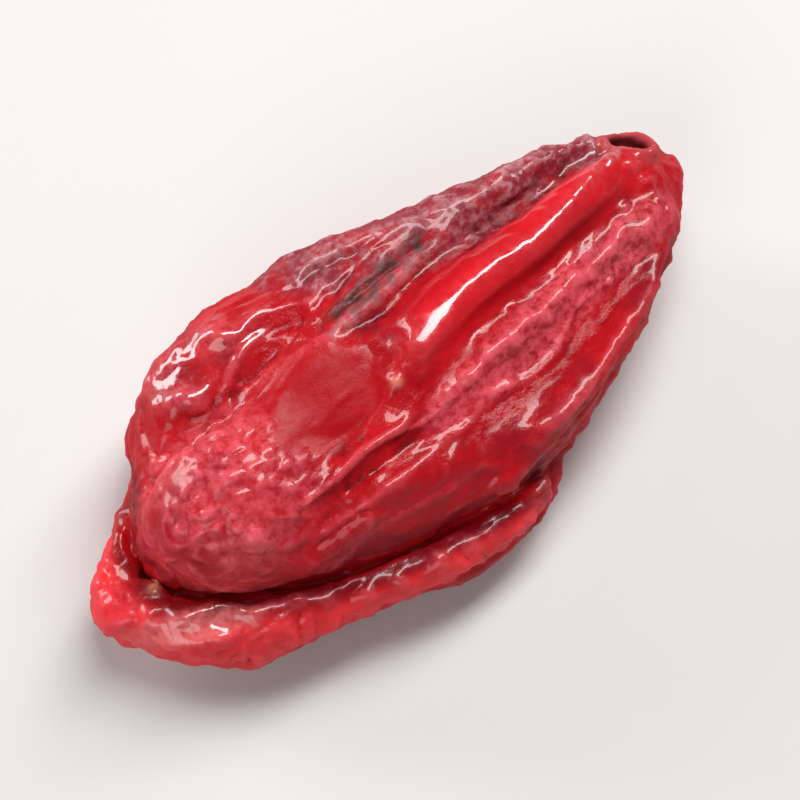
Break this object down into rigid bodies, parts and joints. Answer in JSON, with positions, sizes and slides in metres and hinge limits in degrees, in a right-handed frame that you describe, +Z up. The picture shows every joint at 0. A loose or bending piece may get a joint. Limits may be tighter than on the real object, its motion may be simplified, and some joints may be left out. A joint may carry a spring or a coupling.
{
  "type": "dried dogwood fruit",
  "caption": "Pitted, shrunken dried drupe lying on its side: domed, ribbed red flesh with a rolled split lip and a small calyx scar.",
  "frame": {"origin": "centre of the bounding box's bottom face, on the table the fruit rests on", "axes": "+X along the fruit towards the calyx scar, +Y away from the split lip, +Z up"},
  "size_m": [0.0162, 0.0078, 0.0051],
  "materials": {
    "dried_skin": "glossy, wrinkled dried fruit skin: deep crimson with pinkish crinkles and a few purple-black patches"
  },
  "bodies": {
    "root": {"dried_flesh": "dried_skin"}
  },
  "joints": []
}
